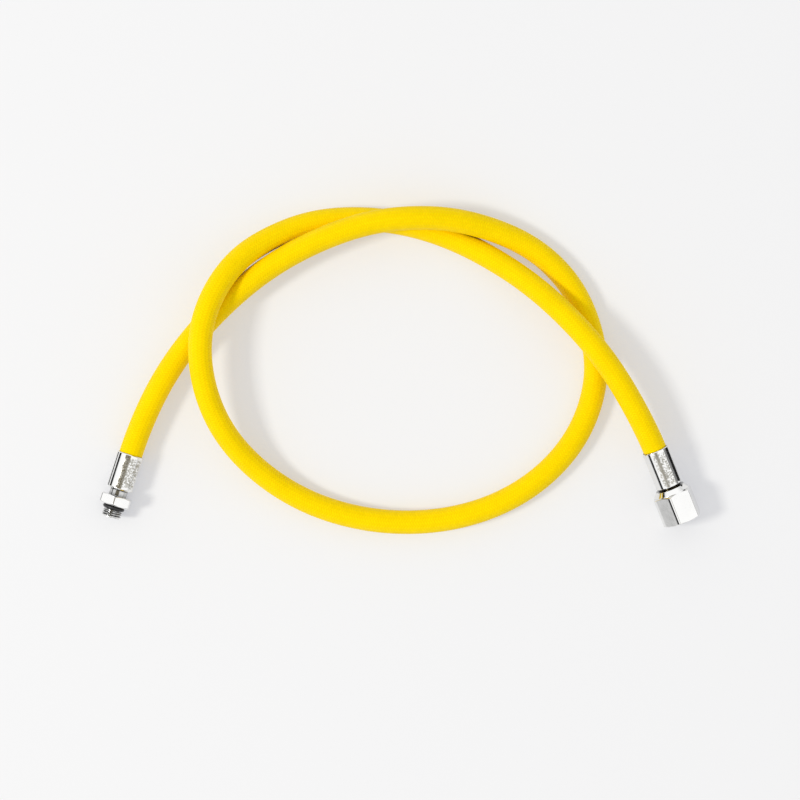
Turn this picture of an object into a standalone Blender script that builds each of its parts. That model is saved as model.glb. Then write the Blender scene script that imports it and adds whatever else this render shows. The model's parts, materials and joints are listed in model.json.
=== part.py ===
"""A yellow braided low-pressure hose with a crimped fitting on each end, lying in a loose overhand loop.

Frame: metres, +Z up, the hose and both fittings rest on Z = 0. The origin is on the floor, midway between
the two fittings. +X runs from the male end to the female end and +Y runs towards the top of the loop.
"""

import math

import bmesh
import bpy
import numpy as np
from mathutils import Matrix, Vector

MM = 0.001
GAP = 0.3  # mm between pieces that touch on the real hose

# Hose wall, from the bore outwards (radii in mm)
LINER_RADII = (3.0, 3.85)
REINFORCEMENT_RADII = (4.15, 4.55)
JACKET_RADII = (4.85, 5.4)
HOSE_BEVEL_RESOLUTION = 3
HOSE_POINTS = 56

# Fittings: distances run from the ferrule's open mouth, where the hose enters, towards the tip (mm)
SEGMENTS = 24
FERRULE_RADIUS = 6.25
FERRULE_BORE = JACKET_RADII[1] + GAP
FERRULE_END_WALL = 1.2
FERRULE_END_HOLE = 3.9
MALE_FERRULE_LENGTH = 17.2
FEMALE_FERRULE_LENGTH = 18.6
GAS_BORE = 1.8
BARB_ROOT = 2.2
BARB_CREST = 2.55
BARB_PITCH = 3.2
BARB_START = 2.0
SHANK_RADIUS = FERRULE_END_HOLE - GAP

NECK_RADIUS = 5.0
MALE_NECK_RADIUS = 4.2
MALE_HEX_START = 20.3
MALE_HEX_END = 25.0
MALE_HEX_FLATS = 14.29  # 9/16 in wrench size
MALE_TIP = 30.8
MALE_THREAD_RADIUS = 4.7  # 3/8-24 UNF
MALE_THREAD_PITCH = 25.4 / 24
MALE_THREAD_START = 27.3
MALE_GROOVE_RADIUS = 3.15
THREAD_DEPTH = 0.6

NUT_START = 19.3
NUT_END = 36.0
NUT_FLATS = 17.46  # 11/16 in wrench size
NUT_LIP = 4.6
NUT_LIP_HOLE = NECK_RADIUS + 0.25
NUT_THREAD_MINOR = 6.45  # 9/16-18 UNF
NUT_THREAD_MAJOR = 7.15
NUT_THREAD_PITCH = 25.4 / 18
NUT_CHAMFER = 0.9
NUT_SHOULDER = 3.0  # length of the cone turned on its rear end
NUT_SHOULDER_RADIUS = 6.9  # where the cone starts
NUT_TILT = math.radians(16)  # how far its upper flat leans towards +X
SPIGOT_TIP = 30.2

ORING_SECTION = 0.85

# Where the ends lie. The male end is level; the female end slopes down from the hose to its nut.
MALE_MOUTH_XY = (-126.5, 14.7)
MALE_HEADING = (-0.305, -0.952)
MALE_PITCH = 0.0
FEMALE_MOUTH_XY = (118.7, 17.0)
FEMALE_HEADING = (0.379, -0.925)
FEMALE_PITCH = math.radians(8)

# The free hose between the ferrules, as it lies: x, y and the height of its centre (mm). It goes under
# itself on the left, over at the top, under on the right, round the loop, then over, under and over.
ROUTE = (
    (-120.7, 30.2, 9.0),
    (-111.3, 49.2, 9.6),
    (-98.2, 68.1, 10.2),
    (-85.2, 82.4, 10.8),
    (-69.4, 96.3, 12.0),
    (-52.8, 107.3, 13.8),
    (-33.5, 116.5, 15.8),
    (-12.6, 122.9, 17.0),
    (6.5, 125.0, 17.1),
    (22.8, 124.4, 14.8),
    (41.7, 120.3, 10.0),
    (61.7, 111.3, 6.2),
    (79.6, 94.1, 5.4),
    (89.0, 73.8, 5.4),
    (91.8, 54.5, 5.4),
    (89.0, 37.6, 5.4),
    (82.3, 22.6, 5.4),
    (71.4, 8.8, 5.4),
    (52.8, -5.1, 5.4),
    (26.9, -14.7, 5.4),
    (-0.1, -17.2, 5.4),
    (-23.0, -14.3, 5.4),
    (-45.9, -6.3, 6.0),
    (-68.2, 8.8, 9.5),
    (-83.5, 27.6, 16.0),
    (-91.7, 49.9, 20.6),
    (-91.9, 74.7, 22.4),
    (-84.3, 94.0, 20.2),
    (-73.3, 107.5, 15.2),
    (-58.9, 116.8, 10.6),
    (-42.1, 123.1, 6.8),
    (-20.8, 125.3, 5.4),
    (3.0, 122.7, 5.4),
    (24.8, 115.8, 5.6),
    (44.3, 105.7, 8.0),
    (61.3, 93.9, 12.4),
    (76.9, 79.8, 16.6),
    (93.3, 61.1, 18.4),
    (106.1, 41.7, 17.9),
    (113.5, 28.1, 16.3),
)


def clear_scene():
    for obj in list(bpy.data.objects):
        bpy.data.objects.remove(obj, do_unlink=True)


def principled(name, color, metallic, roughness):
    material = bpy.data.materials.new(name)
    material.use_nodes = True
    shader = material.node_tree.nodes["Principled BSDF"]
    shader.inputs["Base Color"].default_value = (*color, 1.0)
    shader.inputs["Metallic"].default_value = metallic
    shader.inputs["Roughness"].default_value = roughness
    return material


def end_frame(name, mouth, heading, pitch):
    """An empty at a ferrule's mouth: its +Z is the fitting's axis, its +X is the upper side."""
    flat = Vector((*heading, 0.0)).normalized()
    axis = flat * math.cos(pitch) - Vector((0.0, 0.0, math.sin(pitch)))
    upper = flat * math.sin(pitch) + Vector((0.0, 0.0, math.cos(pitch)))
    side = axis.cross(upper)
    turn = Matrix((upper, side, axis)).transposed().to_4x4()
    empty = bpy.data.objects.new(name, None)
    empty.matrix_world = Matrix.Translation(Vector(mouth) * MM) @ turn
    bpy.context.collection.objects.link(empty)
    return empty


def male_end():
    axis_height = MALE_HEX_FLATS / math.sqrt(3)
    return end_frame("male_end", (*MALE_MOUTH_XY, axis_height), MALE_HEADING, MALE_PITCH)


def female_end():
    corner_radius = NUT_FLATS / math.sqrt(3)
    lowest_corner = corner_radius * math.cos(math.radians(30) - NUT_TILT)
    slope_drop = (NUT_END - NUT_CHAMFER) * math.sin(FEMALE_PITCH)
    height = lowest_corner * math.cos(FEMALE_PITCH) + slope_drop
    return end_frame("female_end", (*FEMALE_MOUTH_XY, height), FEMALE_HEADING, FEMALE_PITCH)


def ring_point(station, angle):
    """A point of a turned ring. A station is (distance, radius) or (distance, radius, across flats)."""
    distance, radius = station[:2]
    if len(station) == 3:
        from_flat = (angle % (math.pi / 3)) - math.pi / 6
        radius = min(radius, station[2] / 2 / math.cos(from_flat))
    return (radius * math.cos(angle) * MM, radius * math.sin(angle) * MM, distance * MM)


def turned_piece(name, stations, end, material, roll=0.0):
    """A closed ring-shaped solid round the fitting's axis, from the outline of its section."""
    mesh = bmesh.new()
    angles = [2 * math.pi * step / SEGMENTS for step in range(SEGMENTS)]
    rings = [[mesh.verts.new(ring_point(station, angle)) for angle in angles] for station in stations]
    for here, there in zip(rings, rings[1:] + rings[:1]):
        for step in range(SEGMENTS):
            after = (step + 1) % SEGMENTS
            mesh.faces.new((here[step], here[after], there[after], there[step]))
    bmesh.ops.recalc_face_normals(mesh, faces=mesh.faces)
    data = bpy.data.meshes.new(name)
    mesh.to_mesh(data)
    mesh.free()
    data.materials.append(material)
    data.shade_smooth()
    data.set_sharp_from_angle(angle=math.radians(40))
    piece = bpy.data.objects.new(name, data)
    bpy.context.collection.objects.link(piece)
    piece.parent = end
    piece.rotation_euler = (0.0, 0.0, roll)
    return piece


def ridges(start, end, pitch, root, crest):
    """Section of a thread from start to end, as rings at the thread's pitch."""
    count = math.floor(abs(end - start) / pitch)
    step = math.copysign(pitch, end - start)
    points = []
    for turn in range(count):
        points.append((start + turn * step, root))
        points.append((start + (turn + 0.5) * step, crest))
    points.append((start + count * step, root))
    return points


def barbed_tail(shoulder):
    """The outer section of the tail inside the hose, up to the shoulder behind the ferrule's end wall."""
    points = []
    for index in range(4):
        start = BARB_START + index * BARB_PITCH
        points += [(start, BARB_ROOT), (start + 2.6, BARB_CREST), (start + 2.7, BARB_ROOT)]
    return points + [(shoulder, BARB_ROOT), (shoulder, SHANK_RADIUS)]


def ferrule(name, length, end, material):
    inner_end = length - FERRULE_END_WALL
    stations = [
        (0.0, FERRULE_RADIUS - 0.25),
        (0.4, FERRULE_RADIUS),
        (length - 0.5, FERRULE_RADIUS),
        (length, FERRULE_RADIUS - 0.4),
        (length, FERRULE_END_HOLE),
        (inner_end, FERRULE_END_HOLE),
        (inner_end, FERRULE_BORE),
        (0.0, FERRULE_BORE),
    ]
    return turned_piece(name, stations, end, material)


def o_ring(name, middle, radius, end, material):
    section = []
    for step in range(8):
        angle = 2 * math.pi * (step + 0.5) / 8
        section.append((middle + ORING_SECTION * math.cos(angle), radius + ORING_SECTION * math.sin(angle)))
    return turned_piece(name, section, end, material)


def hex_section(start, end, flats, chamfer, face_radius, shoulder=None):
    """A hexagon with turned chamfers. shoulder is (length, radius) of a longer cone at its start."""
    corner = flats / math.sqrt(3)
    length, radius = shoulder or (chamfer, face_radius)
    return [
        (start, radius, flats),
        (start + length, corner, flats),
        (end - chamfer, corner, flats),
        (end, face_radius, flats),
    ]


def male_body(end, material):
    shoulder = MALE_FERRULE_LENGTH - FERRULE_END_WALL - GAP
    neck = MALE_FERRULE_LENGTH + GAP
    root = MALE_THREAD_RADIUS - THREAD_DEPTH
    stations = barbed_tail(shoulder)
    stations += [(neck, SHANK_RADIUS), (neck, MALE_NECK_RADIUS), (MALE_HEX_START, MALE_NECK_RADIUS)]
    stations += hex_section(MALE_HEX_START, MALE_HEX_END, MALE_HEX_FLATS, 0.7, 6.95)
    stations += [(MALE_HEX_END, MALE_GROOVE_RADIUS), (MALE_THREAD_START, MALE_GROOVE_RADIUS)]
    stations += ridges(MALE_THREAD_START, MALE_TIP, MALE_THREAD_PITCH, root, MALE_THREAD_RADIUS)
    stations += [(MALE_TIP, root - 0.1), (MALE_TIP, GAS_BORE), (BARB_START, GAS_BORE)]
    return turned_piece("male_body", stations, end, material)


def female_stem(end, material):
    shoulder = FEMALE_FERRULE_LENGTH - FERRULE_END_WALL - GAP
    neck = FEMALE_FERRULE_LENGTH + GAP
    flange = NUT_START + NUT_LIP + GAP
    stations = barbed_tail(shoulder)
    stations += [(neck, SHANK_RADIUS), (neck, NECK_RADIUS), (flange, NECK_RADIUS)]
    stations += [(flange, 6.0), (flange + 1.4, 6.0), (flange + 1.4, 4.2)]
    stations += [(26.4, 4.2), (26.4, 3.2), (28.6, 3.2), (28.6, 4.2)]
    stations += [(SPIGOT_TIP - 0.3, 4.2), (SPIGOT_TIP, 3.9), (SPIGOT_TIP, GAS_BORE), (BARB_START, GAS_BORE)]
    return turned_piece("female_stem", stations, end, material)


def swivel_nut(end, material):
    lip = NUT_START + NUT_LIP
    thread_mouth = NUT_END - 0.7
    shoulder = (NUT_SHOULDER, NUT_SHOULDER_RADIUS)
    stations = hex_section(NUT_START, NUT_END, NUT_FLATS, NUT_CHAMFER, 8.45, shoulder)
    stations += [(NUT_END, NUT_THREAD_MAJOR)]
    thread = ridges(thread_mouth, lip + 2.8, NUT_THREAD_PITCH, NUT_THREAD_MINOR, NUT_THREAD_MAJOR)
    stations += thread
    stations += [(lip, NUT_THREAD_MINOR), (lip, NUT_LIP_HOLE), (NUT_START, NUT_LIP_HOLE)]
    return turned_piece("swivel_nut", stations, end, material, roll=math.radians(30) - NUT_TILT)


def smooth_curve(points, start_direction, end_direction, count):
    """Points evenly spaced along a cubic spline through the route, with given directions at its ends."""
    points = np.array(points)
    chord = np.linalg.norm(np.diff(points, axis=0), axis=1)
    last = len(points) - 1
    system = np.eye(last + 1)
    right = np.zeros((last + 1, 3))
    right[0] = start_direction
    right[last] = end_direction
    for i in range(1, last):
        before, after = chord[i - 1], chord[i]
        system[i, i - 1 : i + 2] = (after, 2 * (before + after), before)
        into = (points[i] - points[i - 1]) / before
        out = (points[i + 1] - points[i]) / after
        right[i] = 3 * (after * into + before * out)
    slope = np.linalg.solve(system, right)
    t = np.linspace(0, 1, 41)[:, None]
    fine = [points[:1]]
    for i in range(last):
        rise = points[i + 1] - points[i]
        curve = points[i] + rise * (3 * t**2 - 2 * t**3)
        curve += chord[i] * (slope[i] * (t - 2 * t**2 + t**3) + slope[i + 1] * (t**3 - t**2))
        fine.append(curve[1:])
    fine = np.concatenate(fine)
    along = np.concatenate([[0], np.cumsum(np.linalg.norm(np.diff(fine, axis=0), axis=1))])
    wanted = np.linspace(0, along[-1], count)
    return np.stack([np.interp(wanted, along, fine[:, k]) for k in range(3)], axis=1)


def hose_centreline(male, female):
    """The whole hose, from the bottom of one ferrule to the bottom of the other (mm)."""
    male_axis = np.array(male.matrix_world.col[2].xyz)
    female_axis = np.array(female.matrix_world.col[2].xyz)
    male_mouth = np.array(male.matrix_world.translation) / MM
    female_mouth = np.array(female.matrix_world.translation) / MM
    route = [male_mouth, *ROUTE, female_mouth]
    free = smooth_curve(route, -male_axis, female_axis, HOSE_POINTS)
    free[:, 2] = np.maximum(free[:, 2], JACKET_RADII[1])
    male_depth = MALE_FERRULE_LENGTH - FERRULE_END_WALL - 2 * GAP
    female_depth = FEMALE_FERRULE_LENGTH - FERRULE_END_WALL - 2 * GAP
    return [male_mouth + male_depth * male_axis, *free, female_mouth + female_depth * female_axis]


def hose_layer(name, centreline, radii, material):
    """One layer of the hose wall: a round tube along the centreline, thickened inwards."""
    inner, outer = radii
    curve = bpy.data.curves.new(name, "CURVE")
    curve.dimensions = "3D"
    curve.bevel_depth = outer * MM
    curve.bevel_resolution = HOSE_BEVEL_RESOLUTION
    line = curve.splines.new("POLY")
    line.points.add(len(centreline) - 1)
    for point, place in zip(line.points, centreline):
        point.co = (*(place * MM), 1.0)
    line.use_smooth = True
    curve.materials.append(material)
    layer = bpy.data.objects.new(name, curve)
    bpy.context.collection.objects.link(layer)
    wall = layer.modifiers.new("wall", "SOLIDIFY")
    wall.thickness = (outer - inner) * MM
    wall.offset = -1.0
    return layer


def main():
    clear_scene()
    chrome = principled("chromed_brass", (0.82, 0.82, 0.80), 1.0, 0.08)
    bare_brass = principled("machined_brass", (0.76, 0.62, 0.34), 1.0, 0.25)
    nitrile = principled("black_nitrile", (0.02, 0.02, 0.02), 0.0, 0.5)
    braid = principled("yellow_braid", (0.95, 0.70, 0.02), 0.0, 0.6)
    yarn = principled("polyester_yarn", (0.85, 0.83, 0.76), 0.0, 0.7)
    liner = principled("clear_liner", (0.80, 0.79, 0.72), 0.0, 0.35)

    male = male_end()
    female = female_end()
    bpy.context.view_layer.update()

    centreline = hose_centreline(male, female)
    hose_layer("hose_outer_jacket", centreline, JACKET_RADII, braid)
    hose_layer("hose_reinforcement_braid", centreline, REINFORCEMENT_RADII, yarn)
    hose_layer("hose_inner_tube", centreline, LINER_RADII, liner)

    male_body(male, chrome)
    ferrule("male_ferrule", MALE_FERRULE_LENGTH, male, chrome)
    o_ring("male_thread_oring", MALE_HEX_END + GAP + ORING_SECTION, 4.3, male, nitrile)

    female_stem(female, bare_brass)
    ferrule("female_ferrule", FEMALE_FERRULE_LENGTH, female, chrome)
    o_ring("spigot_oring", 27.5, 4.35, female, nitrile)
    swivel_nut(female, chrome)


main()
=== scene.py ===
"""Looks of a yellow braided low-pressure hose with a chromed fitting on each end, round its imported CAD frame.

Sizes are in mm, in the frame of the CAD part, unless a name says otherwise.
"""

import json
import math

import bpy
import numpy as np
from mathutils import Matrix, Vector


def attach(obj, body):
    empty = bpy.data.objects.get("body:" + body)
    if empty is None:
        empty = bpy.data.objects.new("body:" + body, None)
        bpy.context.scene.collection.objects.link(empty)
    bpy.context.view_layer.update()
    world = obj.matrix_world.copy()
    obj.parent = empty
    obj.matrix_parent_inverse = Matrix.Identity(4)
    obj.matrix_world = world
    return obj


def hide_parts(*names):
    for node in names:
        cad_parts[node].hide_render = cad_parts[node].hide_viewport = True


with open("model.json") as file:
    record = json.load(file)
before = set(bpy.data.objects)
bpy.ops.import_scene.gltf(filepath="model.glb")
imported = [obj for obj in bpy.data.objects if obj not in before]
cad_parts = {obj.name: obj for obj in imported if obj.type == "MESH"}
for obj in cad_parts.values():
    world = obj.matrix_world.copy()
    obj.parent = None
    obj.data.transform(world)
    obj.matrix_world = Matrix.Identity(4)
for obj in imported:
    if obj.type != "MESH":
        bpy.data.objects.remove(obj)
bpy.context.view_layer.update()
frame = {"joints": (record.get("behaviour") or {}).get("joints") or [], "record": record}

MM = 0.001

# Hose
JACKET_RADIUS = 5.4
JACKET_BORE = 4.85
REINFORCEMENT_RADII = (4.15, 4.55)
LINER_RADII = (3.0, 3.85)
YARNS = 18  # in each direction
YARN_PITCH = 1.25  # along the hose, from one yarn to the next
YARN_RELIEF = 0.26
YARN_CREST = 5.58
STEPS_PER_PITCH = 4

# Fittings: distances run from the ferrule's open mouth towards the tip
FERRULE_RADIUS = 6.25
FERRULE_BORE = 5.7
FERRULE_END_HOLE = 3.9
FERRULE_END_WALL = 1.2
MALE_FERRULE_LENGTH = 17.2
FEMALE_FERRULE_LENGTH = 18.6
GAP = 0.3
SHANK_RADIUS = 3.6
GAS_BORE = 1.8
NECK_RADIUS = 5.0
MALE_NECK_RADIUS = 4.2
EDGE_ROUND = 0.15

MALE_HEX = (20.3, 25.0)
MALE_HEX_FLATS = 14.29
MALE_HEX_FACE = (6.95, 0.7)  # radius of its turned faces, and length of their chamfers
MALE_THREAD = (27.3, 30.8)
MALE_THREAD_RADIUS = 4.7
MALE_THREAD_PITCH = 25.4 / 24
MALE_AXIS_OFFSET = 2.9  # the mount lies on the tip face, beside the bore
MALE_GROOVE_RADIUS = 3.15
MALE_ORING = (26.15, 4.3)

NUT = (19.3, 36.0)
NUT_FLATS = 17.46
NUT_FACE = (8.55, 0.8)
NUT_EDGE_WIDTH = 0.5  # over which the hexagon's edges are rounded
NUT_SHOULDER = (2.1, 6.9, 8.6)  # the cone turned on its rear end: length, and radii where it starts and ends
NUT_LIP = 4.6
NUT_LIP_HOLE = 5.25
NUT_MOUTH_RADIUS = 8.2
NUT_THREAD_MINOR = 6.45
NUT_THREAD_PITCH = 25.4 / 18
NUT_ROLL = math.radians(14)
NUT_JOINT_DISTANCE = 28.8
TAIL_START = 2.0  # of the barbed tail inside the hose
TAIL_RADIUS = 2.2
BARB_RADIUS = 2.55
BARB_LENGTH = 2.6
BARB_STARTS = (2.0, 5.2, 8.4, 11.6)
FLANGE = (6.0, 1.4)  # of the stem, inside the nut: radius and thickness
SPIGOT_RADIUS = 4.2
SPIGOT_TIP = 30.2
SPIGOT_GROOVE = (26.4, 28.6, 3.2)  # from, to and radius
SPIGOT_ORING = (27.5, 4.35)
ORING_SECTION = 0.85
THREAD_DEPTH = 0.62

# Looks. A frosted field is (middle, half-width) in turns from the upper side, then (from, to) along.
CHROME = (0.86, 0.86, 0.85)
POLISHED = (0.04, 0.13)  # least and most roughness
FROSTED = (0.42, 0.41, 0.37)
MALE_FROSTED_FIELD = ((-0.075, 0.12), (1.5, 15.5))
FEMALE_FROSTED_FIELD = ((-0.01, 0.08), (1.5, 17.0))
BRASS = (0.80, 0.66, 0.36)
STAINED_BRASS = (0.70, 0.55, 0.28)
NITRILE = (0.018, 0.018, 0.019)
YARN_WHITE = (0.85, 0.83, 0.76)
LINER_WHITE = (0.80, 0.79, 0.72)
# The braid's yellow, from down between the yarns up to their crests; the deeper orange between them is painted
# shade.
YELLOW_VALLEY_SHADE = (0.94, 0.54, 0.0)
YELLOW_SIDE = (0.96, 0.67, 0.001)
YELLOW_CREST = (0.96, 0.71, 0.001)

# The free hose between the ferrules, as it lies: x, y and the height of its centre. It goes under itself on
# the left, over at the top, under on the right, round the loop, then over, under and over.
ROUTE = (
    (-120.7, 30.2, 9.0),
    (-111.3, 49.2, 9.6),
    (-98.2, 68.1, 10.2),
    (-85.2, 82.4, 10.8),
    (-69.4, 96.3, 12.0),
    (-52.8, 107.3, 13.8),
    (-33.5, 116.5, 15.8),
    (-12.6, 122.9, 17.0),
    (6.5, 125.0, 17.1),
    (22.8, 124.4, 14.8),
    (41.7, 120.3, 10.0),
    (61.7, 111.3, 6.2),
    (79.6, 94.1, 5.4),
    (89.0, 73.8, 5.4),
    (91.8, 54.5, 5.4),
    (89.0, 37.6, 5.4),
    (82.3, 22.6, 5.4),
    (71.4, 8.8, 5.4),
    (52.8, -5.1, 5.4),
    (26.9, -14.7, 5.4),
    (-0.1, -17.2, 5.4),
    (-23.0, -14.3, 5.4),
    (-45.9, -6.3, 6.0),
    (-68.2, 8.8, 9.5),
    (-83.5, 27.6, 16.0),
    (-91.7, 49.9, 20.6),
    (-91.9, 74.7, 22.4),
    (-84.3, 94.0, 20.2),
    (-73.3, 107.5, 15.2),
    (-58.9, 116.8, 10.6),
    (-42.1, 123.1, 6.8),
    (-20.8, 125.3, 5.4),
    (3.0, 122.7, 5.4),
    (24.8, 115.8, 5.6),
    (44.3, 105.7, 8.0),
    (61.3, 93.9, 12.4),
    (76.9, 79.8, 16.6),
    (93.3, 61.1, 18.4),
    (106.1, 41.7, 17.9),
    (113.5, 28.1, 16.3),
)

# View and light
VIEW_CENTRE = (-0.2, 40.2)
VIEW_HALF_WIDTH = 188.0
CAMERA_HEIGHT = 1300.0
FLOOR_SIZE = 4.4  # m
KEY_AZIMUTH = math.radians(188)
KEY_ELEVATION = math.radians(50)
KEY_DISTANCE = 4.0  # m
KEY_SIZE = 0.75  # m
KEY_POWER = 74.0
FILL = 0.74  # light from all round on dull surfaces
WALL = 0.86  # the room, where the camera sees it
# Gaps between the soft boxes: middle and half-width of the sector, lowest and highest point, all in degrees,
# and how bright they are.
DARK_GAPS = (
    ((208.0, 26.0), (6.0, 25.0), 0.03),
    ((28.0, 30.0), (-8.0, 20.0), 0.25),
    ((-85.0, 45.0), (-8.0, 30.0), 0.03),
    ((160.0, 18.0), (-8.0, 12.0), 0.03),
)
# Painted reflection: black sheets beside the ferrules, seen only in the chrome, where they paint dark streaks.
# Distance from the fitting's axis, and heights from it.
DARK_REFLECTION_SHEET_LENGTH = 18.4
RIGHT_DARK_REFLECTION_SHEET = (8.0, (0.5, 4.7))
UPPER_LEFT_DARK_REFLECTION_SHEET = (12.0, (2.9, 5.2))
LOWER_LEFT_DARK_REFLECTION_SHEET = (12.0, (-3.5, -0.1))


# ---------------------------------------------------------------- camera


def add_camera():
    """Straight above the hose, as wide as the view at the height of the hose's middle."""
    data = bpy.data.cameras.new("camera")
    data.sensor_width = 36.0
    data.lens = 18.0 / VIEW_HALF_WIDTH * (CAMERA_HEIGHT - JACKET_RADIUS)
    data.clip_end = 20.0
    camera = bpy.data.objects.new("camera", data)
    camera.location = Vector((*VIEW_CENTRE, CAMERA_HEIGHT)) * MM
    bpy.context.scene.collection.objects.link(camera)
    bpy.context.scene.camera = camera


# ---------------------------------------------------------------- frames and curves


def upper_side(axis):
    return (Vector((0.0, 0.0, 1.0)) - axis * axis.z).normalized()


def end_frame(axis, mouth):
    """Matrix of a fitting in mm: +Z is its axis from the ferrule's mouth, +X is its upper side."""
    upper = upper_side(axis)
    turn = Matrix((upper, axis.cross(upper), axis)).transposed().to_4x4()
    return Matrix.Translation(mouth) @ turn


def male_frame():
    mount = next(m for m in frame["record"]["mounts"] if m["name"] == "male_thread_end")
    axis = Vector(mount["axis"]).normalized()
    tip = Vector(mount["pos_m"]) / MM - upper_side(axis) * MALE_AXIS_OFFSET
    return end_frame(axis, tip - axis * MALE_THREAD[1])


def female_frame():
    joint = next(j for j in frame["joints"] if j["name"] == "nut_swivel")
    axis = Vector(joint["axis"]).normalized()
    return end_frame(axis, Vector(joint["pos_m"]) / MM - axis * NUT_JOINT_DISTANCE)


def smooth_curve(points, start_direction, end_direction, step):
    """Points evenly spaced along a cubic spline through the route, with given directions at its ends."""
    points = np.array(points)
    chord = np.linalg.norm(np.diff(points, axis=0), axis=1)
    last = len(points) - 1
    system = np.eye(last + 1)
    right = np.zeros((last + 1, 3))
    right[0] = start_direction
    right[last] = end_direction
    for i in range(1, last):
        before, after = chord[i - 1], chord[i]
        system[i, i - 1 : i + 2] = (after, 2 * (before + after), before)
        into = (points[i] - points[i - 1]) / before
        out = (points[i + 1] - points[i]) / after
        right[i] = 3 * (after * into + before * out)
    slope = np.linalg.solve(system, right)
    t = np.linspace(0, 1, 201)[:, None]
    fine = [points[:1]]
    for i in range(last):
        rise = points[i + 1] - points[i]
        curve = points[i] + rise * (3 * t**2 - 2 * t**3)
        curve += chord[i] * (slope[i] * (t - 2 * t**2 + t**3) + slope[i + 1] * (t**3 - t**2))
        fine.append(curve[1:])
    return evenly_spaced(np.concatenate(fine), step)


def evenly_spaced(points, step):
    along = np.concatenate([[0], np.cumsum(np.linalg.norm(np.diff(points, axis=0), axis=1))])
    wanted = np.linspace(0, along[-1], round(along[-1] / step) + 1)
    return np.stack([np.interp(wanted, along, points[:, k]) for k in range(3)], axis=1)


def hose_centreline(male, female, step):
    """The whole hose, from the bottom of one ferrule to the bottom of the other."""
    male_mouth, male_axis = np.array(male.translation), np.array(male.col[2].xyz)
    female_mouth, female_axis = np.array(female.translation), np.array(female.col[2].xyz)
    free = smooth_curve([male_mouth, *ROUTE, female_mouth], -male_axis, female_axis, step)
    free[:, 2] = np.maximum(free[:, 2], JACKET_RADIUS)
    male_depth = MALE_FERRULE_LENGTH - FERRULE_END_WALL - 2 * GAP
    female_depth = FEMALE_FERRULE_LENGTH - FERRULE_END_WALL - 2 * GAP
    whole = [male_mouth + male_depth * male_axis, *free, female_mouth + female_depth * female_axis]
    return evenly_spaced(np.array(whole), step)


def carried_frames(points):
    """Two directions across the line at each point, turning as little as they can along it."""
    tangents = np.gradient(points, axis=0)
    tangents /= np.linalg.norm(tangents, axis=1)[:, None]
    first = np.empty_like(points)
    normal = np.array((0.0, 0.0, 1.0))
    for i, tangent in enumerate(tangents):
        normal = normal - tangent * normal.dot(tangent)
        normal /= np.linalg.norm(normal)
        first[i] = normal
    return first, np.cross(tangents, first)


# ---------------------------------------------------------------- meshes


def ring_mesh(name, rings, material, uvs, uv_name):
    """A closed solid from rings of points in mm; the last ring joins the first. uvs are (u, v) of each
    ring's points, with one more column than there are points, for the seam."""
    count, around = rings.shape[:2]
    ring = np.arange(count)[:, None] * around
    after_ring = (np.arange(count)[:, None] + 1) % count * around
    step = np.arange(around)[None, :]
    after_step = (step + 1) % around
    faces = np.stack([ring + step, ring + after_step, after_ring + after_step, after_ring + step], axis=-1)
    mesh = bpy.data.meshes.new(name)
    mesh.from_pydata((rings * MM).reshape(-1, 3), [], faces.reshape(-1, 4).tolist())
    here, after = uvs, np.roll(uvs, -1, axis=0)
    corners = np.stack([here[:, :-1], here[:, 1:], after[:, 1:], after[:, :-1]], axis=2)
    layer = mesh.uv_layers.new(name=uv_name)
    layer.data.foreach_set("uv", corners.astype(np.float32).ravel())
    mesh.materials.append(material)
    mesh.shade_smooth()
    piece = bpy.data.objects.new(name, mesh)
    bpy.context.scene.collection.objects.link(piece)
    return piece


def ring_uvs(along, around):
    """UVs of rings: turns round them, and the given values along."""
    turns = np.arange(around + 1) / around
    return np.stack(np.broadcast_arrays(turns[None, :], np.array(along)[:, None]), axis=-1)


def tube_rings(centreline, radii, angles):
    """Rings of the given radii round a line. radii is one number, or one per ring and angle."""
    across, up = carried_frames(centreline)
    radii = np.broadcast_to(radii, (len(centreline), len(angles)))[..., None]
    outwards = np.cos(angles)[None, :, None] * across[:, None] + np.sin(angles)[None, :, None] * up[:, None]
    return centreline[:, None] + radii * outwards


def soften(profile, cut=EDGE_ROUND, steps=4):
    """The outline with each inner corner rounded. A point close to each round keeps the faces flat."""
    points = [np.array(p, float) for p in profile]
    result = [points[0]]
    for before, corner, after in zip(points, points[1:], points[2:]):
        into, out = corner - before, after - corner
        reach = min(cut, 0.4 * np.linalg.norm(into), 0.4 * np.linalg.norm(out))
        start = corner - into / np.linalg.norm(into) * reach
        end = corner + out / np.linalg.norm(out) * reach
        result.append(start - into / np.linalg.norm(into) * reach * 0.2)
        for t in np.linspace(0, 1, steps + 1):
            result.append((1 - t) ** 2 * start + 2 * t * (1 - t) * corner + t**2 * end)
        result.append(end + out / np.linalg.norm(out) * reach * 0.2)
    return [(*p, None) for p in result] + [(*points[-1], None)]


def hexed(flats, edge):
    """Radii that the flats of a hexagon cut off, with edges rounded over a width."""

    def shape(distance, radius, angles):
        from_flat = angles % (math.pi / 3) - math.pi / 6
        corner = flats / math.sqrt(3) - 0.2
        return soft_minimum(np.minimum(radius, corner), flats / 2 / np.cos(from_flat), edge)

    return shape


def soft_minimum(a, b, width):
    return np.minimum(a, b) - np.maximum(width - np.abs(a - b), 0) ** 2 / (4 * width)


def threaded(pitch, depth, first, last):
    """Radii of a helical thread between two distances; it runs out at both. A positive depth cuts inwards from
    the crest, a negative one outwards from the bore."""

    def shape(distance, radius, angles):
        phase = (distance / pitch - angles / (2 * math.pi)) % 1.0
        ridge = np.clip(1.25 - 2.5 * np.abs(phase - 0.5) * 1.15, 0.0, 1.0)
        fade = np.clip(min(distance - first, last - distance) / (0.5 * pitch), 0.0, 1.0)
        return radius - depth * fade * (1 - ridge) - depth * (1 - fade)

    return shape


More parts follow.
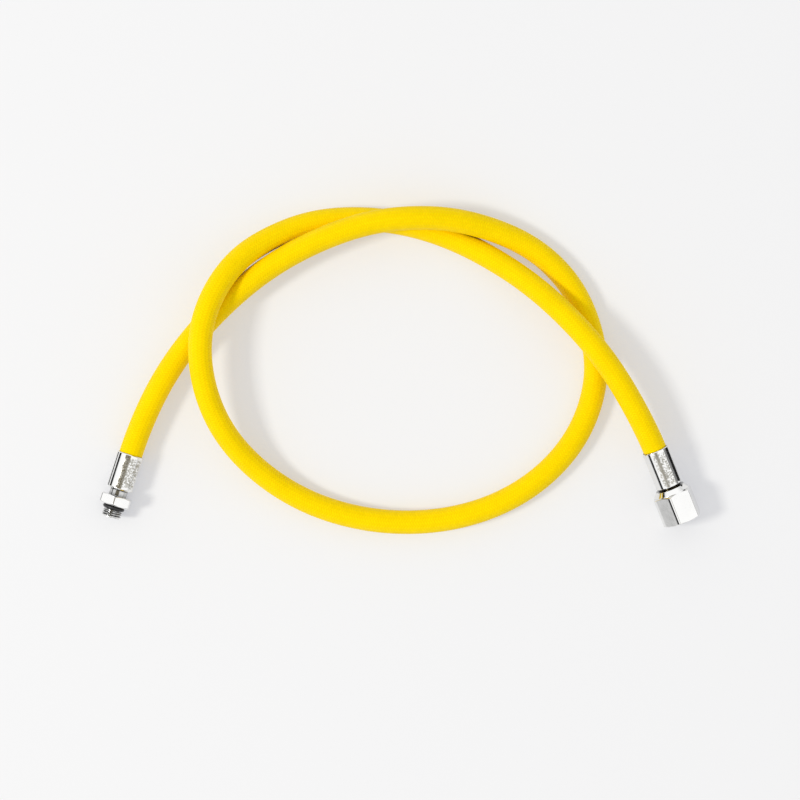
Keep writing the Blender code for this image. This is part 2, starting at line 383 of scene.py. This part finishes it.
def turned_piece(name, end, stations, material, body, roll=0.0, around=192):
    """A closed solid turned round the fitting's axis, from stations (distance, radius, shape)."""
    angles = np.arange(around) * 2 * math.pi / around
    rings = []
    for distance, radius, shape in stations:
        radii = shape(distance, radius, angles) if shape else np.full(around, radius)
        turned = angles + roll
        rings.append(np.stack([radii * np.cos(turned), radii * np.sin(turned), np.full(around, distance)], 1))
    rings = np.array(rings)
    turn = np.array(end.to_3x3())
    place = np.array(end.translation)
    uvs = ring_uvs([station[0] for station in stations], around)
    piece = ring_mesh(name, rings @ turn.T + place, material, uvs, "turned")
    piece.data.set_sharp_from_angle(angle=math.radians(38))
    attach(piece, body)
    return piece


def spread(start, end, count):
    return np.linspace(start, end, count)


def hex_stations(section, flats, face_radius, chamfer, edge=0.25):
    """Outer stations of a hexagon with turned chamfers at both ends."""
    shape = hexed(flats, edge)
    start, end = section
    corner = flats / math.sqrt(3)
    rise = [(start + chamfer * t, face_radius + (corner - face_radius) * t, shape) for t in spread(0, 1, 16)]
    middle = [(d, corner, shape) for d in spread(start + chamfer, end - chamfer, 4)[1:-1]]
    fall = [(end - chamfer * t, face_radius + (corner - face_radius) * t, shape) for t in spread(1, 0, 14)]
    return rise + middle + fall


def thread_stations(section, radius, pitch, depth):
    """Stations close enough for a helical thread from one distance to the other, in either direction."""
    shape = threaded(pitch, depth, min(section), max(section))
    count = math.ceil(abs(section[1] - section[0]) / pitch * 14)
    return [(d, radius, shape) for d in spread(*section, count)]


# ---------------------------------------------------------------- materials


def new_material(name):
    material = bpy.data.materials.new(name)
    material.use_nodes = True
    return material, material.node_tree, material.node_tree.nodes["Principled BSDF"]


def add(tree, kind, settings=None, inputs=None):
    """A new shader node, with its settings, and its inputs as values or as sockets to link from."""
    node = tree.nodes.new("ShaderNode" + kind)
    for key, value in (settings or {}).items():
        setattr(node, key, value)
    for key, value in (inputs or {}).items():
        if isinstance(value, bpy.types.NodeSocket):
            tree.links.new(value, node.inputs[key])
        else:
            node.inputs[key].default_value = value
    return node


def maths(tree, operation, *values):
    return add(tree, "Math", {"operation": operation}, dict(enumerate(values))).outputs[0]


def ramp(tree, factor, *stops):
    """A colour ramp with stops (position, colour)."""
    node = add(tree, "ValToRGB", inputs={0: factor})
    elements = node.color_ramp.elements
    elements[0].position, elements[1].position = stops[0][0], stops[-1][0]
    elements[0].color, elements[1].color = (*stops[0][1], 1.0), (*stops[-1][1], 1.0)
    for position, color in stops[1:-1]:
        elements.new(position).color = (*color, 1.0)
    return node.outputs[0]


def span(tree, value, low, high, to_low=0.0, to_high=1.0):
    """value from low..high mapped smoothly to to_low..to_high."""
    inputs = {0: value, 1: low, 2: high, 3: to_low, 4: to_high}
    return add(tree, "MapRange", {"interpolation_type": "SMOOTHSTEP"}, inputs).outputs[0]


def window(tree, value, low, high, soft):
    """1 between low and high, falling smoothly to 0 over soft on each side."""
    rise = span(tree, value, low - soft, low + soft)
    fall = span(tree, value, high - soft, high + soft, 1.0, 0.0)
    return maths(tree, "MULTIPLY", rise, fall)


def mixed(tree, factor, under, over):
    inputs = {0: factor, 6: under, 7: over}
    return add(tree, "Mix", {"data_type": "RGBA"}, inputs).outputs[2]


def object_noise(tree, scale, detail=2.0, stretch=(1.0, 1.0, 1.0)):
    coordinates = add(tree, "TexCoord").outputs["Object"]
    mapped = add(tree, "Mapping", inputs={"Vector": coordinates, "Scale": stretch}).outputs[0]
    return add(tree, "TexNoise", inputs={"Vector": mapped, "Scale": scale, "Detail": detail}).outputs["Fac"]


def bump(tree, height, strength, distance, normal=None):
    inputs = {"Height": height, "Strength": strength, "Distance": distance}
    if normal is not None:
        inputs["Normal"] = normal
    return add(tree, "Bump", inputs=inputs).outputs[0]


def yarn_family(tree, across, along, sign):
    """Height, and place across its yarn, of one direction of the braid."""
    place = maths(tree, "FRACT", across)
    off_centre = maths(tree, "MULTIPLY_ADD", place, 2.0, -1.0)
    arch = maths(tree, "SUBTRACT", 1.0, maths(tree, "MULTIPLY", off_centre, off_centre))
    turns = maths(tree, "MULTIPLY", maths(tree, "ADD", along, maths(tree, "FLOOR", across)), math.pi / 2)
    over = maths(tree, "MULTIPLY", maths(tree, "SINE", turns), sign)
    height = maths(tree, "MULTIPLY_ADD", over, 0.5, maths(tree, "MULTIPLY", arch, 0.5))
    return height, place


def braid_material():
    """Tight polyester braid: two directions of yarns, two over and two under, each of parallel filaments.
    Its yellow carries painted shade: deeper orange down between the yarns, and darker where strands touch.
    """
    material, tree, shader = new_material("yellow_braid")
    uv = add(tree, "UVMap", {"uv_map": "braid"}).outputs[0]
    parts = add(tree, "SeparateXYZ", inputs={0: uv})
    turn = maths(tree, "MULTIPLY", parts.outputs["X"], float(YARNS))
    along = parts.outputs["Y"]
    u = maths(tree, "ADD", turn, along)
    v = maths(tree, "SUBTRACT", turn, along)
    height_u, place_u = yarn_family(tree, u, v, 1.0)
    height_v, place_v = yarn_family(tree, v, u, -1.0)
    v_on_top = maths(tree, "GREATER_THAN", height_v, height_u)
    top = maths(tree, "MAXIMUM", height_u, height_v)
    place = add(tree, "Mix", inputs={0: v_on_top, 2: place_u, 3: place_v}).outputs[0]
    yarn_u = maths(tree, "FLOOR", u)
    yarn_v = maths(tree, "ADD", maths(tree, "FLOOR", v), 512.5)
    yarn = add(tree, "Mix", inputs={0: v_on_top, 2: yarn_u, 3: yarn_v}).outputs[0]
    tint = add(tree, "TexWhiteNoise", {"noise_dimensions": "1D"}, {"W": yarn}).outputs["Value"]

    # Painted shade: the yellow deepens to orange down between the yarns.
    valley_shaded_yellow = ramp(tree, top, (0.1, YELLOW_VALLEY_SHADE), (0.5, YELLOW_SIDE), (0.9, YELLOW_CREST))
    yarn_shade = span(tree, tint, 0.0, 1.0, 0.96, 1.0)
    cloudy = span(tree, object_noise(tree, 60.0, 3.0), 0.3, 0.7, -0.02, 0.02)
    shade = maths(tree, "ADD", yarn_shade, cloudy)
    shaded = add(tree, "HueSaturation", inputs={"Value": shade, "Color": valley_shaded_yellow}).outputs[0]
    # Painted shade between the yarns and where strands of the hose touch.
    tree.links.new(painted_crevice_shade(tree, shaded, 0.001, (0.45, 0.25), 0.7), shader.inputs["Base Color"])
    shader.inputs["Roughness"].default_value = 0.55
    shader.inputs["Specular IOR Level"].default_value = 0.3
    shader.inputs["Specular Tint"].default_value = (1.0, 0.72, 0.02, 1.0)

    filaments = maths(tree, "SINE", maths(tree, "MULTIPLY", place, 2 * math.pi * 6))
    relief = maths(tree, "MULTIPLY_ADD", filaments, 0.06, top)
    fuzz = object_noise(tree, 9000.0, 1.0)
    relief = maths(tree, "MULTIPLY_ADD", fuzz, 0.08, relief)
    tree.links.new(bump(tree, relief, 0.25, 0.0002), shader.inputs["Normal"])
    return material


def painted_crevice_shade(tree, color, reach, dark=(0.42, 0.03), clear=0.85):
    """color, darkened as painted shade in the corners between faces closer than reach (m). dark is how closed a
    corner is where the shade is deepest, and that shade; clear is how open it is where there is none."""
    settings = {"samples": 8, "only_local": False}
    open_to = add(tree, "AmbientOcclusion", settings, {"Distance": reach}).outputs["AO"]
    shade = ramp(tree, open_to, (dark[0], (dark[1],) * 3), (clear, (1.0, 1.0, 1.0)))
    mix = add(tree, "Mix", {"data_type": "RGBA", "blend_type": "MULTIPLY"}, {0: 1.0, 6: color, 7: shade})
    return mix.outputs[2]


def frosted_field(tree, place):
    """1 inside a field of fine blasted specks. place is (middle, half-width) in turns, (from, to) in mm."""
    (middle, half), (start, end) = place
    parts = add(tree, "SeparateXYZ", inputs={0: add(tree, "UVMap", {"uv_map": "turned"}).outputs[0]})
    turned = maths(tree, "WRAP", maths(tree, "SUBTRACT", parts.outputs["X"], middle), 0.5, -0.5)
    across = window(tree, turned, -half, half, 0.012)
    along = window(tree, parts.outputs["Y"], start, end, 0.5)
    specks = span(tree, object_noise(tree, 1300.0, 3.0), 0.42, 0.56)
    return maths(tree, "MULTIPLY", maths(tree, "MULTIPLY", across, along), specks)


def metal_material(name, color, roughness, stain=None, frosted=None):
    """Turned metal: fine scratches, slight waves in the polish, dull patches, painted shade in its corners, and
    a frosted field if there is one."""
    material, tree, shader = new_material(name)
    low, high = roughness
    rough = span(tree, object_noise(tree, 220.0, 6.0), 0.35, 0.75, low, high)
    stained = tuple(c * 0.95 for c in color) if stain is None else stain
    base = ramp(tree, object_noise(tree, 90.0, 4.0), (0.35, color), (0.75, stained))
    if frosted:
        field = frosted_field(tree, frosted)
        rough = maths(tree, "MULTIPLY_ADD", field, 0.3, rough)
        base = mixed(tree, field, base, (*FROSTED, 1.0))
    tree.links.new(rough, shader.inputs["Roughness"])
    # Painted shade in the corners between the metal's faces.
    tree.links.new(painted_crevice_shade(tree, base, 0.003), shader.inputs["Base Color"])
    shader.inputs["Metallic"].default_value = 1.0
    smooth = bump(tree, object_noise(tree, 260.0, 2.0), 0.04, 0.0004)
    scratches = object_noise(tree, 5000.0, 4.0)
    tree.links.new(bump(tree, scratches, 0.04, 0.00005, smooth), shader.inputs["Normal"])
    return material


def plain_material(name, color, roughness, grain=2500.0, depth=0.00003):
    """A dull moulded or woven surface with a fine grain."""
    material, tree, shader = new_material(name)
    cloudy = object_noise(tree, 180.0, 4.0)
    darker = tuple(c * 0.8 for c in color)
    tree.links.new(ramp(tree, cloudy, (0.3, darker), (0.7, color)), shader.inputs["Base Color"])
    shader.inputs["Roughness"].default_value = roughness
    tree.links.new(bump(tree, object_noise(tree, grain, 3.0), 0.3, depth), shader.inputs["Normal"])
    return material


def floor_material():
    """White acrylic, lit a little from below."""
    material, _, shader = new_material("floor")
    shader.inputs["Base Color"].default_value = (0.55, 0.54, 0.50, 1.0)
    shader.inputs["Roughness"].default_value = 0.9
    shader.inputs["Specular IOR Level"].default_value = 0.0
    shader.inputs["Emission Color"].default_value = (0.31, 0.32, 0.367, 1.0)
    shader.inputs["Emission Strength"].default_value = 1.0
    return material


# ---------------------------------------------------------------- hose


def braid_radii(count, angles):
    """Radius of the jacket's surface, per ring and angle: the same yarns as in braid_material."""
    along = np.arange(count)[:, None] / STEPS_PER_PITCH
    turn = YARNS * angles[None, :] / (2 * math.pi)
    u, v = turn + along, turn - along

    def family(across, other, sign):
        arch = 1 - (2 * (across % 1.0) - 1) ** 2
        return 0.5 * arch + 0.5 * sign * np.sin(math.pi / 2 * (other + np.floor(across)))

    top = np.maximum(family(u, v, 1.0), family(v, u, -1.0))
    return YARN_CREST - YARN_RELIEF * (0.95 - np.clip(top, 0.0, 0.95))


def build_jacket(male, female, material):
    """The braided jacket, from one ferrule to the other."""
    step = YARN_PITCH / STEPS_PER_PITCH
    line = hose_centreline(male, female, step)
    around = YARNS * 4
    angles = (np.arange(around) + 0.5) * 2 * math.pi / around
    outer = tube_rings(line, braid_radii(len(line), angles - math.pi / around), angles)
    inner_line = line[:: STEPS_PER_PITCH * 2]
    inner = tube_rings(inner_line, JACKET_BORE, angles)[::-1]
    along = np.concatenate([np.arange(len(line)), np.arange(len(line))[:: STEPS_PER_PITCH * 2][::-1]])
    uvs = ring_uvs(along / STEPS_PER_PITCH, around)
    jacket = ring_mesh("braided_jacket", np.concatenate([outer, inner]), material, uvs, "braid")
    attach(jacket, "hose_assembly")
    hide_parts("hose_outer_jacket")


def build_hidden_layer(name, node, radii, line, material, slot):
    """A smooth layer inside the jacket."""
    angles = np.arange(48) * 2 * math.pi / 48
    inner, outer = radii
    rings = np.concatenate([tube_rings(line, outer, angles), tube_rings(line, inner, angles)[::-1]])
    layer = ring_mesh(name, rings, material, ring_uvs(np.arange(len(rings)), 48), "tube")
    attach(layer, "hose_assembly")
    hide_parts(node)


# ---------------------------------------------------------------- fittings


def build_ferrule(name, node, length, end, material):
    """A drawn sleeve, pressed on the hose: rolled in at its mouth and closed round the neck."""
    inner_end = length - FERRULE_END_WALL
    outline = [
        (1.2, FERRULE_BORE),
        (0.0, FERRULE_BORE),
        (0.0, FERRULE_RADIUS - 0.3),
        (0.35, FERRULE_RADIUS),
        (length - 0.6, FERRULE_RADIUS),
        (length, FERRULE_RADIUS - 0.5),
        (length, FERRULE_END_HOLE),
        (inner_end, FERRULE_END_HOLE),
        (inner_end, FERRULE_BORE),
        (6.0, FERRULE_BORE),
    ]
    piece = turned_piece(name, end, soften(outline), material, "hose_assembly")
    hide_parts(node)


def build_o_ring(name, node, place, end, material):
    middle, radius = place
    stations = []
    for angle in np.arange(28) * 2 * math.pi / 28:
        distance = middle - ORING_SECTION * math.cos(angle)
        stations.append((distance, radius + ORING_SECTION * math.sin(angle), None))
    piece = turned_piece(name, end, stations, material, "hose_assembly")
    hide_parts(node)


def barbs():
    """Outline of the tail inside the hose."""
    outline = []
    for start in BARB_STARTS:
        end = start + BARB_LENGTH
        outline += [(start, TAIL_RADIUS), (end, BARB_RADIUS), (end + 0.1, TAIL_RADIUS)]
    return outline


def tail_outline(shoulder):
    """Outline of the barbed tail, from its bore to the shoulder that sits in the ferrule's end."""
    mouth = [(TAIL_START + 0.4, GAS_BORE), (TAIL_START, GAS_BORE)]
    return [*mouth, *barbs(), (shoulder, TAIL_RADIUS), (shoulder, SHANK_RADIUS)]


def build_male_body(end, material):
    shoulder = MALE_FERRULE_LENGTH - FERRULE_END_WALL - GAP
    neck = MALE_FERRULE_LENGTH + GAP
    hex_start, hex_end = MALE_HEX
    thread_start, tip = MALE_THREAD
    root = MALE_THREAD_RADIUS - THREAD_DEPTH
    collar = [(neck, SHANK_RADIUS), (neck, MALE_NECK_RADIUS), (hex_start, MALE_NECK_RADIUS), (hex_start, 6.9)]
    stations = soften([*tail_outline(shoulder), *collar])
    stations += hex_stations(MALE_HEX, MALE_HEX_FLATS, *MALE_HEX_FACE)
    groove = [(hex_end, MALE_GROOVE_RADIUS), (thread_start, MALE_GROOVE_RADIUS)]
    stations += soften([(hex_end, 6.8), *groove, (thread_start, root)], 0.08)
    stations += thread_stations(MALE_THREAD, MALE_THREAD_RADIUS, MALE_THREAD_PITCH, THREAD_DEPTH)
    mouth = [(tip, GAS_BORE + 0.25), (tip - 0.3, GAS_BORE), (tip - 3.0, GAS_BORE)]
    stations += soften([(tip, root), *mouth])
    piece = turned_piece("threaded_body", end, stations, material, "hose_assembly", around=240)
    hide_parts("male_body")


def build_stem(end, material):
    shoulder = FEMALE_FERRULE_LENGTH - FERRULE_END_WALL - GAP
    neck = FEMALE_FERRULE_LENGTH + GAP
    flange = NUT[0] + NUT_LIP + GAP
    flange_radius, thickness = FLANGE
    behind = flange + thickness
    collar = [(neck, SHANK_RADIUS), (neck, NECK_RADIUS), (flange, NECK_RADIUS)]
    head = [(flange, flange_radius), (behind, flange_radius), (behind, SPIGOT_RADIUS)]
    near, far, floor = SPIGOT_GROOVE
    groove = [(near, SPIGOT_RADIUS), (near, floor), (far, floor), (far, SPIGOT_RADIUS)]
    nose = [(SPIGOT_TIP - 0.3, SPIGOT_RADIUS), (SPIGOT_TIP, SPIGOT_RADIUS - 0.3)]
    bore = [(SPIGOT_TIP, GAS_BORE + 0.2), (SPIGOT_TIP - 0.3, GAS_BORE), (SPIGOT_TIP - 3.0, GAS_BORE)]
    stations = soften([*tail_outline(shoulder), *collar, *head, *groove, *nose, *bore], 0.1)
    piece = turned_piece("swivel_stem", end, stations, material, "hose_assembly")
    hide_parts("female_stem")


def build_nut(end, material):
    start, front = NUT
    lip = start + NUT_LIP
    thread = (front - 0.6, lip + 2.4)
    length, narrow, wide = NUT_SHOULDER
    cone_end = start + length
    relief = NUT_THREAD_MINOR + THREAD_DEPTH
    stations = soften([(start, narrow - 0.2), (start, narrow), (cone_end, wide), (cone_end + 0.3, wide)])
    stations += hex_stations((cone_end + 0.2, front), NUT_FLATS, *NUT_FACE, NUT_EDGE_WIDTH)
    stations += soften([(front, NUT_MOUTH_RADIUS), (front, NUT_THREAD_MINOR + 0.8), (front - 0.6, relief)])
    stations += thread_stations(thread, NUT_THREAD_MINOR, NUT_THREAD_PITCH, -THREAD_DEPTH)
    throat = [(lip + 2.3, relief), (lip, relief), (lip, NUT_LIP_HOLE), (start, NUT_LIP_HOLE), (start, 6.6)]
    stations += soften(throat)
    piece = turned_piece("swivel_nut_body", end, stations, material, "swivel_nut", NUT_ROLL, 240)
    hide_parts("swivel_nut")


# ---------------------------------------------------------------- stage


def add_floor():
    bpy.ops.mesh.primitive_plane_add(size=FLOOR_SIZE, location=(*(Vector(VIEW_CENTRE) * MM), 0.0))
    floor = bpy.context.object
    floor.name = "floor"
    floor.data.materials.append(floor_material())


def add_key_light():
    """A soft box on the left, a little towards the near side."""
    towards = Vector((math.cos(KEY_AZIMUTH), math.sin(KEY_AZIMUTH), 0.0)) * math.cos(KEY_ELEVATION)
    towards.z = math.sin(KEY_ELEVATION)
    data = bpy.data.lights.new("key", "AREA")
    data.shape = "SQUARE"
    data.size = KEY_SIZE
    data.energy = KEY_POWER
    key = bpy.data.objects.new("key", data)
    key.location = Vector((*VIEW_CENTRE, 0.0)) * MM + towards * KEY_DISTANCE
    key.rotation_euler = towards.to_track_quat("Z", "Y").to_euler()
    bpy.context.scene.collection.objects.link(key)


def add_dark_reflection_sheet(name, end, side, place):
    """A narrow black sheet beside a ferrule, which only shows in the chrome, where it paints a dark reflected
    streak. side is 1 or -1, and place is its distance from the fitting's axis and its heights from it."""
    distance, (low, high) = place
    axis = end.col[2].xyz
    outwards = Vector((-axis.y, axis.x, 0.0)).normalized() * side * distance
    corners = []
    for along, height in ((0.0, low), (DARK_REFLECTION_SHEET_LENGTH, low), (DARK_REFLECTION_SHEET_LENGTH, high), (0.0, high)):
        foot = end.translation + axis * along + outwards
        corners.append((foot + Vector((0.0, 0.0, height))) * MM)
    mesh = bpy.data.meshes.new(name)
    mesh.from_pydata([tuple(corner) for corner in corners], [], [(0, 1, 2, 3)])
    mesh.materials.append(plain_material(name, (0.01, 0.01, 0.01), 0.9))
    reflection_sheet = bpy.data.objects.new(name, mesh)
    reflection_sheet.visible_camera = False
    reflection_sheet.visible_diffuse = False
    reflection_sheet.visible_shadow = False
    bpy.context.scene.collection.objects.link(reflection_sheet)


def gap(tree, azimuth, elevation, sector, band, soft=3.0):
    """1 inside a sector and a band of heights, in degrees. The sector is middle and half-width."""
    middle, half = sector
    turned = maths(tree, "WRAP", maths(tree, "SUBTRACT", azimuth, middle), 180.0, -180.0)
    return maths(
        tree,
        "MULTIPLY",
        window(tree, turned, -half, half, 6.0),
        window(tree, elevation, *band, soft),
    )


def grey(value):
    return (value, value, value, 1.0)


def add_world():
    """A white room. The chrome shows its soft boxes, and the darker gaps between them as streaks."""
    world = bpy.data.worlds.new("studio")
    world.use_nodes = True
    bpy.context.scene.world = world
    tree = world.node_tree
    direction = add(tree, "TexCoord").outputs["Generated"]
    x, y, z = add(tree, "SeparateXYZ", inputs={0: direction}).outputs
    elevation = maths(tree, "DEGREES", maths(tree, "ARCSINE", z))
    azimuth = maths(tree, "DEGREES", maths(tree, "ARCTAN2", y, x))

    height = maths(tree, "DIVIDE", elevation, 90.0)
    low, high = (0.78, 0.78, 0.78), (1.15, 1.15, 1.15)
    color = ramp(tree, height, (0.0, low), (0.06, low), (0.25, high), (1.0, high))
    for sector, band, value in DARK_GAPS:
        color = mixed(tree, gap(tree, azimuth, elevation, sector, band), color, grey(value))

    spot = {0: direction, 1: (-0.17, -0.03, 0.985)}
    overhead = add(tree, "VectorMath", {"operation": "DOT_PRODUCT"}, spot).outputs["Value"]
    ceiling = span(tree, overhead, math.cos(math.radians(28)), math.cos(math.radians(20)))
    mottled = add(tree, "TexNoise", inputs={"Vector": direction, "Scale": 14.0, "Detail": 4.0}).outputs["Fac"]
    ceiling_color = ramp(tree, mottled, (0.35, (0.10, 0.085, 0.055)), (0.65, (0.42, 0.38, 0.29)))
    color = mixed(tree, ceiling, color, ceiling_color)

    ray = add(tree, "LightPath")
    color = mixed(tree, ray.outputs["Is Diffuse Ray"], color, grey(FILL))
    color = mixed(tree, ray.outputs["Is Camera Ray"], color, grey(WALL))
    tree.links.new(color, tree.nodes["Background"].inputs["Color"])


def build_hose(male, female):
    build_jacket(male, female, braid_material())
    line = hose_centreline(male, female, 2.0)
    yarn = plain_material("polyester_yarn", YARN_WHITE, 0.7)
    liner = plain_material("clear_liner", LINER_WHITE, 0.35)
    reinforcement = ("inner_reinforcement", "hose_reinforcement_braid", REINFORCEMENT_RADII)
    build_hidden_layer(*reinforcement, line, yarn, "polyester_yarn")
    build_hidden_layer("inner_liner", "hose_inner_tube", LINER_RADII, line, liner, "clear_liner")


def build_fittings(male, female):
    chrome = metal_material("chromed_brass", CHROME, POLISHED)
    brass = metal_material("machined_brass", BRASS, (0.12, 0.28), STAINED_BRASS)
    nitrile = plain_material("black_nitrile", NITRILE, 0.42)
    sleeve = metal_material("frosted_chrome_male", CHROME, POLISHED, frosted=MALE_FROSTED_FIELD)
    build_ferrule("male_sleeve", "male_ferrule", MALE_FERRULE_LENGTH, male, sleeve)
    build_male_body(male, chrome)
    build_o_ring("thread_oring", "male_thread_oring", MALE_ORING, male, nitrile)
    sleeve = metal_material("frosted_chrome_female", CHROME, POLISHED, frosted=FEMALE_FROSTED_FIELD)
    build_ferrule("female_sleeve", "female_ferrule", FEMALE_FERRULE_LENGTH, female, sleeve)
    build_stem(female, brass)
    build_o_ring("nose_oring", "spigot_oring", SPIGOT_ORING, female, nitrile)
    build_nut(female, chrome)


def build_stage(male, female):
    add_floor()
    add_key_light()
    # Painted reflections: sheets that put dark streaks in the chrome of the ferrules.
    add_dark_reflection_sheet("dark_reflection_sheet_right", female, 1, RIGHT_DARK_REFLECTION_SHEET)
    add_dark_reflection_sheet("dark_reflection_sheet_left_upper", male, -1, UPPER_LEFT_DARK_REFLECTION_SHEET)
    add_dark_reflection_sheet("dark_reflection_sheet_left_lower", male, -1, LOWER_LEFT_DARK_REFLECTION_SHEET)
    add_world()
    bpy.context.scene.view_settings.view_transform = "Standard"


def main():
    add_camera()
    male, female = male_frame(), female_frame()
    build_hose(male, female)
    build_fittings(male, female)
    build_stage(male, female)


main()
